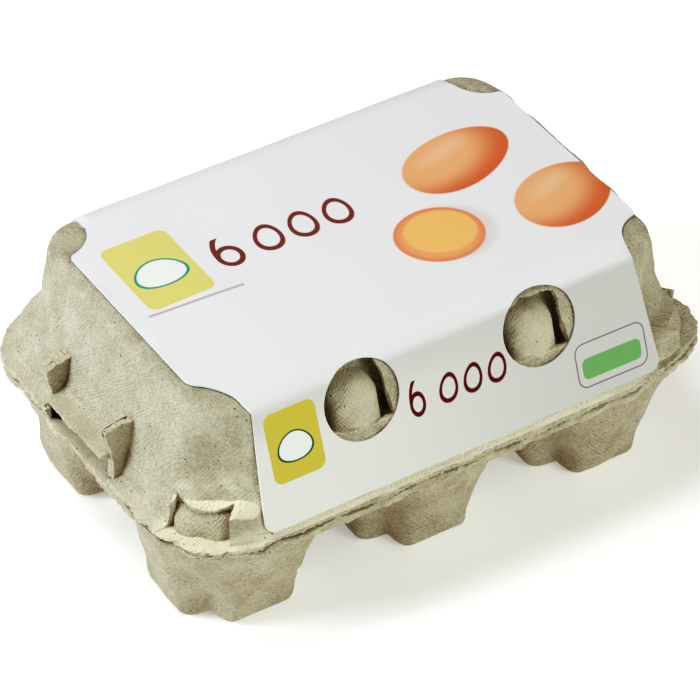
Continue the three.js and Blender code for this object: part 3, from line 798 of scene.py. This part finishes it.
class Value:
    """A shader socket that takes part in Python arithmetic; each operation adds its Math node."""

    def __init__(self, shader, socket):
        self.shader, self.socket = shader, socket

    def math(self, operation, *others):
        """This value and others through one Math node."""
        return self.shader.node("ShaderNodeMath", {"operation": operation}, [self, *others])

    def __add__(self, other):
        return self.math("ADD", other)

    __radd__ = __add__

    def __sub__(self, other):
        return self.math("SUBTRACT", other)

    def __rsub__(self, other):
        return self.shader.node("ShaderNodeMath", {"operation": "SUBTRACT"}, [other, self])

    def __mul__(self, other):
        return self.math("MULTIPLY", other)

    __rmul__ = __mul__

    def __truediv__(self, other):
        return self.math("DIVIDE", other)

    def __neg__(self):
        return self * -1


class Shader:
    """A material's node tree, built by one method for any node."""

    def __init__(self, name):
        self.material = bpy.data.materials.new(name)
        self.material.use_nodes = True
        self.tree = self.material.node_tree
        self.surface = self.tree.nodes["Principled BSDF"]

    def node(self, kind, settings=None, inputs=(), output=0):
        """Adds a node: its settings first, then the values or links of its sockets by number or name."""
        made = self.tree.nodes.new(kind)
        for name, value in (settings or {}).items():
            setattr(made, name, value)
        pairs = inputs.items() if isinstance(inputs, dict) else enumerate(inputs)
        for socket, value in pairs:
            self.feed(made.inputs[socket], value)
        return Value(self, made.outputs[output])

    def feed(self, socket, value):
        """Links a socket or sets its value."""
        if isinstance(value, Value):
            self.tree.links.new(value.socket, socket)
        else:
            socket.default_value = value

    def principled(self, **sockets):
        """Feeds sockets of the material's surface; underscores stand for spaces."""
        for name, value in sockets.items():
            self.feed(self.surface.inputs[name.replace("_", " ")], value)

    def place(self):
        """Places on the piece in metres."""
        return self.node("ShaderNodeTexCoord", output=3)

    def flat_places(self):
        """The two coordinates of the UV map, in millimetres along the surface."""
        flat = self.node("ShaderNodeTexCoord", output=2)
        return [self.node("ShaderNodeSeparateXYZ", {}, [flat], output=axis) for axis in (0, 1)]

    def between(self, value, low, high):
        """0 where value is at low, 1 at high, with an S-shaped rise between them."""
        settings = {"interpolation_type": "SMOOTHSTEP"}
        return self.node("ShaderNodeMapRange", settings, [value, low, high, 0.0, 1.0])

    def mix(self, share, first, second):
        """Colour that goes from first to second as share goes from 0 to 1."""
        made = self.tree.nodes.new("ShaderNodeMix")
        made.data_type = "RGBA"
        for socket, value in zip((made.inputs[0], made.inputs[6], made.inputs[7]), (share, first, second)):
            self.feed(socket, value if isinstance(value, (Value, float, int)) else (*value, 1.0))
        return Value(self, made.outputs[2])

    def noise(self, place, size, detail=2.0, roughness=0.5):
        """Cloudy noise whose patches are about size millimetres across."""
        sockets = {"Vector": place, "Scale": 1 / (size * MM), "Detail": detail, "Roughness": roughness}
        return self.node("ShaderNodeTexNoise", {}, sockets)

    def bump(self, height, distance, strength=1.0):
        """Normal of a surface raised by height times distance in metres."""
        sockets = {"Strength": strength, "Distance": distance, "Height": height}
        return self.node("ShaderNodeBump", {}, sockets)


def linear(*rgb):
    """Scene-linear colour of an 8-bit display colour."""
    return tuple(((c / 255 + 0.055) / 1.055) ** 2.4 if c > 10 else c / 255 / 12.92 for c in rgb)


# ---- Materials ----

def specks(shader, place, spacing, radius, share):
    """Mask of sparse round specks, sized in millimetres: one in a share of a Voronoi pattern's cells."""
    cells = {"Vector": place, "Scale": 1 / (spacing * MM)}
    distance = shader.node("ShaderNodeTexVoronoi", {}, cells, output=0)
    draw = shader.node("ShaderNodeTexVoronoi", {}, cells, output=1)
    picked = shader.node("ShaderNodeSeparateColor", {}, [draw]).math("LESS_THAN", share)
    edge = radius / spacing
    return (1 - shader.between(distance, 0.7 * edge, edge)) * picked


def forming_mesh(shader, place, patches):
    """Imprint of the forming mesh: two crossed sine waves, warped by a slow noise, weaker in patches."""
    across, along = shader.flat_places()
    warp = shader.noise(place, 6, 1.0) * 9
    pace = math.pi / WIRE_PITCH
    return (across * pace + warp).math("SINE") * (along * pace - warp).math("SINE") * (patches * 0.7 + 0.3)


def specked(shader, place, colour):
    """The colour with fine grey-brown, dark and red specks in it."""
    fine = specks(shader, place, 1.1, 0.13, 0.4)
    dark = specks(shader, place, 1.9, 0.22, 0.5)
    red = specks(shader, place, 2.4, 0.2, 0.3)
    colour = shader.mix(fine * 0.4, colour, linear(120, 108, 84))
    colour = shader.mix(dark * 0.85, colour, linear(44, 40, 32))
    return shader.mix(red * 0.6, colour, linear(150, 84, 66))


def pulp_material(name, light, shade, imprint=1.0):
    """Moulded grey-beige pulp: cloudy fibres between a light and a shaded colour, with painted highlight and
    painted shade where the piece's painted_light attribute says so, and with specks, grain and the imprint
    of the forming mesh."""
    shader = Shader(name)
    place = shader.place()
    clouds = shader.noise(place, 7, 3.0)
    fibres = shader.noise(place, 0.8, 3.0, 0.7)
    grain = shader.noise(place, 0.35, 2.0, 0.7)
    patches = shader.between(shader.noise(place, 5, 1.0), 0.35, 0.65)
    weave = forming_mesh(shader, place, patches) * imprint
    tone = clouds * 0.35 + fibres * 0.55 + weave * 0.05
    colour = shader.mix(shader.between(tone, 0.32, 0.58), linear(*shade), linear(*light))
    painted_light = shader.node("ShaderNodeAttribute", {"attribute_name": "painted_light"}, output=2)
    # painted highlight towards a pale colour and painted shade towards near black, as painted_light says
    colour = shader.mix((painted_light * 0.75).math("MAXIMUM", 0.0), colour, linear(238, 233, 208))
    colour = shader.mix((painted_light * -0.97).math("MAXIMUM", 0.0), colour, linear(20, 17, 10))
    relief = shader.bump(weave * 0.38 + grain + fibres * 0.8, 0.3 * MM)
    shader.principled(Base_Color=specked(shader, place, colour), Roughness=0.94, Normal=relief)
    shader.surface.inputs["Specular IOR Level"].default_value = 0.2
    return shader.material


class Print:
    """Plain shapes in the label's flat millimetres, painted one over the other."""

    def __init__(self, shader, paper):
        self.shader = shader
        self.x, self.y = shader.flat_places()
        self.colour = paper

    def turned(self, x, y, degrees):
        """Places seen from a point, on axes turned by an angle."""
        c, s = math.cos(math.radians(degrees)), math.sin(math.radians(degrees))
        away_x, away_y = self.x - x, self.y - y
        return away_x * c + away_y * s, away_y * c - away_x * s

    def oval(self, x, y, half_x, half_y, degrees=0.0, narrow=0.0):
        """Relative distance from an oval's middle, 1 at its edge. Narrow tapers its far end as an egg's."""
        across, up = self.turned(x, y, degrees)
        wide = across / half_x
        tall = up / half_y
        if narrow:
            tall = tall * (1 + wide * narrow)
        return (wide * wide + tall * tall).math("SQRT")

    def box(self, x, y, half_x, half_y, radius, degrees=0.0):
        """Distance outside a rectangle with round corners, in millimetres."""
        across, up = self.turned(x, y, degrees)
        over_x = (across.math("ABSOLUTE") - (half_x - radius)).math("MAXIMUM", 0.0)
        over_y = (up.math("ABSOLUTE") - (half_y - radius)).math("MAXIMUM", 0.0)
        return (over_x * over_x + over_y * over_y).math("SQRT") - radius

    def within(self, distance, limit=0.0, blur=0.12):
        """1 where distance is under limit."""
        return 1 - self.shader.between(distance, limit - blur, limit + blur)

    def paint(self, mask, colour):
        """Lays a colour over what is there."""
        self.colour = self.shader.mix(mask, self.colour, colour)


def paint_front_shade(print_):
    """Painted shade on the front panel: a greyer white, deepest under the crease and towards the right."""
    shader = print_.shader
    front = shader.between(-print_.y, LABEL_CREASE - 1.5, LABEL_CREASE + 1.5)
    below = 1 - shader.between(-print_.y, LABEL_CREASE + 1.0, LABEL_CREASE + 11.0)
    right = shader.between(print_.x, -45.0, 52.0)
    tone = shader.mix(right, linear(229, 228, 224), linear(204, 203, 199))
    tone = shader.mix(below * 0.55, tone, linear(203, 202, 198))
    print_.paint(front, tone)


FIELDS = [  # middle, half sizes, colour of the field and of the egg shape's outline: on the top and in front
    (-45.0, 11.3, 8.7, 12.4, (220, 214, 140), (60, 160, 140)),
    (-42.5, -LABEL_HALF + 18.8, 6.7, 8.6, (208, 193, 96), (30, 100, 84)),
]


def paint_fields(print_):
    """Two yellow fields with a plain white egg shape each."""
    for x, y, half_x, half_y, yellow, green in FIELDS:
        print_.paint(print_.within(print_.box(x, y, half_x, half_y, 2.2)), linear(*yellow))
        egg = print_.oval(x, y - 0.1 * half_y, 0.52 * half_x, 0.5 * half_y, 90, 0.18)
        print_.paint(print_.within(egg, 1.08, 0.03), linear(*green))
        print_.paint(print_.within(egg, 0.97, 0.03), linear(236, 238, 234))


def paint_six(print_, x, y, size, narrow, colour):
    """A plain numeral 6: a ring, and for its stem the upper left part of a larger ring. Narrow scales its
    width."""
    stroke = 0.062 * size
    bowl = print_.oval(x, y, narrow, 1)
    ring = print_.within((bowl - 0.27 * size).math("ABSOLUTE"), stroke)
    stem = print_.oval(x + 0.5 * size * narrow, y + 0.06 * size, narrow, 1)
    arc = print_.within((stem - 0.77 * size).math("ABSOLUTE"), stroke)
    above = print_.within(y + 0.02 * size - print_.y) * print_.within(print_.y, y + 0.62 * size)
    left = print_.within(print_.x, x + 0.12 * size * narrow)
    print_.paint(ring.math("MAXIMUM", arc * above * left), colour)


# The numeral's middle, height and width scale, then the egg shapes' first place, step and half sizes, and
# the colour of both: on the top and in front.
COUNTS = [
    (-28.3, 6.7, 11.7, 0.88, -17.4, 9.4, 3.6, 4.9, linear(134, 86, 75)),
    (-10.4, -LABEL_HALF + 15.6, 9.4, 0.66, -1.9, 6.6, 2.5, 3.7, linear(104, 24, 20)),
]


def paint_counts(print_):
    """The numeral six and a row of egg outlines beside it, brown on the top and dark red in front."""
    for x, y, size, narrow, first, step, half_x, half_y, colour in COUNTS:
        paint_six(print_, x, y, size, narrow, colour)
        for number in range(3):
            egg = print_.oval(first + number * step, y + 0.1 * size, half_y, half_x, 78, 0.14)
            mask = print_.within(egg, 1.0, 0.05) * (1 - print_.within(egg, 0.7, 0.05))
            print_.paint(mask, colour)


WHOLE_EGGS = [(35.6, 9.3, 15.4, 9.6, 14, 0.08), (49.6, -14.9, 13.4, 10.2, 22, 0.06)]    # as for an oval


def paint_eggs(print_):
    """Two brown eggs: ovals that are lighter at the upper left, each with a soft gleam."""
    shader = print_.shader
    for x, y, half_x, half_y, degrees, narrow in WHOLE_EGGS:
        egg = print_.oval(x, y, half_x, half_y, degrees, narrow)
        low = print_.oval(x - 0.30 * half_x, y + 0.30 * half_y, half_x, half_y, degrees)
        body = shader.mix(shader.between(low, 0.55, 1.35), linear(230, 180, 140), linear(212, 126, 90))
        gleam = print_.oval(x - 0.1 * half_x, y + 0.45 * half_y, 0.6 * half_x, 0.28 * half_y, degrees)
        body = shader.mix((1 - shader.between(gleam, 0.2, 1.3)) * 0.4, body, linear(238, 208, 180))
        print_.paint(print_.within(egg, 1.0, 0.025), body)


def paint_half_egg(print_):
    """A halved egg: a soft shadow, the shell's ring and the yolk, as three ovals."""
    shader = print_.shader
    shadow = print_.oval(19.2, -13.0, 11.0, 9.8, -8)
    print_.paint((1 - shader.between(shadow, 0.85, 1.15)) * 0.35, linear(196, 184, 176))
    ring = print_.oval(16.6, -12.2, 10.9, 9.9, -8)
    shell = shader.mix(shader.between(ring, 0.75, 1.0), linear(232, 174, 128), linear(226, 150, 118))
    print_.paint(print_.within(ring, 1.0, 0.02), shell)
    yolk = print_.oval(17.4, -11.4, 8.7, 7.6, -8)
    print_.paint(print_.within(yolk, 1.0, 0.04), linear(236, 193, 132))


def paint_small(print_):
    """A thin line under the top's field, and at the right of the front a rounded frame round a green bar."""
    line = print_.box(-43.1, -3.0, 12.2, 0.35, 0.3, -3.5)
    print_.paint(print_.within(line, 0.0, 0.2) * 0.55, linear(150, 125, 120))
    x, y = 41.4, -LABEL_HALF + 8.1
    edge = print_.box(x, y, 9.6, 5.4, 2.4)
    print_.paint(print_.within(edge.math("ABSOLUTE"), 0.18, 0.08), linear(130, 132, 130))
    print_.paint(print_.within(print_.box(x, y - 1.0, 8.2, 2.6, 1.6)), linear(126, 176, 118))


def label_material():
    """Coated white paper with plain print, painted shade on its front panel and a very fine grain."""
    shader = Shader("printed_paper")
    place = shader.place()
    tone = shader.noise(place, 30, 2.0)
    paper = shader.mix(tone, linear(229, 229, 231), linear(233, 233, 235))
    print_ = Print(shader, paper)
    # painted shade over the front panel, under the crease and towards the right
    paint_front_shade(print_)
    paint_fields(print_)
    paint_counts(print_)
    paint_eggs(print_)
    paint_half_egg(print_)
    paint_small(print_)
    grain = shader.bump(shader.noise(place, 0.7, 2.0), 0.02 * MM, 0.3)
    shader.principled(Base_Color=print_.colour, Roughness=0.5, Normal=grain)
    shader.surface.inputs["Specular IOR Level"].default_value = 0.3
    return shader.material


# ---- Studio ----

CAMERA_TARGET = Vector((-0.00059, -0.0012, 0.030))
CAMERA_AZIMUTH = math.radians(-32.78)
CAMERA_ELEVATION = math.radians(40.41)
CAMERA_ROLL = math.radians(0.45)
CAMERA_DISTANCE = 0.99845
FOCAL_IN_FRAMES = 4230.23 / 700    # focal length as a multiple of the picture's width
FLOOR_REACH = 6.0              # half side of the floor, in metres
LAMP_TARGET = Vector((0, 0, 0.03))


def add_camera():
    """The camera, turned round its target from the front by its azimuth and raised by its elevation."""
    data = bpy.data.cameras.new("camera")
    data.sensor_width = 36.0
    data.lens = FOCAL_IN_FRAMES * data.sensor_width
    level = math.cos(CAMERA_ELEVATION)
    back = Vector((math.sin(CAMERA_AZIMUTH) * level, -math.cos(CAMERA_AZIMUTH) * level,
                   math.sin(CAMERA_ELEVATION)))
    right = Vector((math.cos(CAMERA_AZIMUTH), math.sin(CAMERA_AZIMUTH), 0))
    up = back.cross(right)
    turn = Matrix((right, up, back)).transposed() @ Matrix.Rotation(CAMERA_ROLL, 3, "Z")
    camera = bpy.data.objects.new("camera", data)
    camera.matrix_world = Matrix.Translation(CAMERA_TARGET + back * CAMERA_DISTANCE) @ turn.to_4x4()
    bpy.context.scene.collection.objects.link(camera)
    bpy.context.scene.camera = camera


def add_lamp(name, place, size, power, colour=(1, 1, 1)):
    """A square soft light that faces the carton."""
    data = bpy.data.lights.new(name, "AREA")
    data.shape = "SQUARE"
    data.size = size
    data.energy = power
    data.color = colour
    lamp = bpy.data.objects.new(name, data)
    way = LAMP_TARGET - Vector(place)
    lamp.matrix_world = Matrix.Translation(place) @ way.to_track_quat("-Z", "Y").to_matrix().to_4x4()
    bpy.context.scene.collection.objects.link(lamp)


def add_floor(glow):
    """A wide pale floor that glows a little, as the white sweep of a studio does."""
    shader = Shader("floor_white")
    shader.principled(Base_Color=(0.97, 0.97, 0.97, 1.0), Roughness=0.9)
    shader.principled(Emission_Color=(1.0, 1.0, 1.0, 1.0), Emission_Strength=glow)
    mesh = bpy.data.meshes.new("floor")
    corners = [(x * FLOOR_REACH, y * FLOOR_REACH, 0) for x, y in ((-1, -1), (1, -1), (1, 1), (-1, 1))]
    mesh.from_pydata(corners, [], [(0, 1, 2, 3)])
    mesh.materials.append(shader.material)
    floor = bpy.data.objects.new("floor", mesh)
    bpy.context.scene.collection.objects.link(floor)


TONES = {  # deeper and warmer shade, plain highlights: display values for scene values, by channel
    3: [(0.06, 0.012), (0.12, 0.045), (0.2, 0.12), (0.3, 0.235), (0.4, 0.36), (0.5, 0.48), (0.65, 0.645),
        (0.8, 0.81)],
    1: [(0.12, 0.106), (0.235, 0.218), (0.4, 0.392), (0.6, 0.597), (0.8, 0.8)],
    2: [(0.08, 0.074), (0.157, 0.147), (0.3, 0.291), (0.5, 0.495), (0.7, 0.7)],
}


def set_view():
    """Plain view transform with tone curves: number 3 for all channels, 1 for green and 2 for blue."""
    view = bpy.context.scene.view_settings
    view.view_transform = "Standard"
    view.use_curve_mapping = True
    for channel, tones in TONES.items():
        curve_points = view.curve_mapping.curves[channel].points
        for tone in tones:
            curve_points.new(*tone)
    view.curve_mapping.update()


def add_world(strength, colour):
    """Even surroundings."""
    world = bpy.data.worlds.new("studio")
    world.use_nodes = True
    background = world.node_tree.nodes["Background"]
    background.inputs["Color"].default_value = (*colour, 1)
    background.inputs["Strength"].default_value = strength
    bpy.context.scene.world = world


# ---- Making ----

# Outline of a pit that is torn out of the rim beside the left hood.
PIT = [(-73.3, 15.9), (-70.8, 10.7), (-66, 9), (-64, 13), (-66, 17)]


def make_lid(material):
    """The lid: one closed skin with its openings cut."""
    lid = make_piece("lid_shell", [grid_part(lid_points())], material, stands_for="lid", slot="lid_pulp")
    carve(lid, [*window_cutters(), *corner_cutters(), *vent_cutters()])
    # painted highlight on the lid's ledges, painted shade in its vents and over the seam's gap
    mark_painted_light(lid, painted_light_on_lid)


def make_tray(material):
    """Six cups a pitch apart, the front left one with a dimple, and four lugs."""
    cups = []
    for column in (-1, 0, 1):
        for row in (0, 1):
            dimple = 1.0 if (column, row) == (-1, 0) else 0.0
            middle = np.array([column * PITCH, (row - 0.5) * PITCH, 0])
            cups.append(grid_part(cup_points(20 + 3 * column + row, dimple) + middle))
    tray = make_piece("tray_shell", [*cups, *lug_parts()], material, stands_for="tray", slot="tray_pulp")
    # painted highlight on the lugs
    mark_painted_light(tray, painted_highlight_on_lugs)


def make_rim(material):
    """The tray's rim, with a pit torn out of it."""
    rim = make_piece("tray_rim", [grid_part(rim_points())], material, slot="tray_pulp")
    levels = level_row((28, 29.6, 30.2, 31, 31.4, 33))
    carve(rim, [cutter(PIT, levels, 0, (1, 0, 0), (0, 1, 0), 77)])
    # painted shade where the seam gapes, painted highlight between the cheeks
    mark_painted_light(rim, painted_light_on_rim)


set_view()
add_camera()
add_world(0.14, (1.3, 1.0, 0.7))
add_floor(0.28)
add_lamp("key_left", (-0.9, 0.3, 0.45), 0.4, 6.8, (0.9, 1.0, 1.13))
add_lamp("key_top", (-0.3, 0.2, 1.0), 0.4, 4.7, (1.0, 1.0, 1.0))
add_lamp("fill_front", (0.3, -1.1, 0.7), 0.6, 6.8, (0.88, 1.0, 0.98))
add_lamp("fill_right", (1.0, -0.8, 0.4), 0.8, 2.0, (0.92, 1.0, 1.1))

lid_pulp = pulp_material("lid_pulp", (203, 199, 179), (174, 169, 146))
tray_pulp = pulp_material("tray_pulp", (199, 193, 172), (171, 163, 140))
rim_pulp = pulp_material("rim_pulp", (205, 199, 175), (179, 171, 145), imprint=0.0)
make_lid(lid_pulp)
make_tray(tray_pulp)
make_rim(rim_pulp)
for end_side in (-1, 1):
    # painted highlight on the cheeks' upward edges
    mark_painted_light(hood(end_side, lid_pulp), painted_highlight_on_ledges)
make_label(label_material())
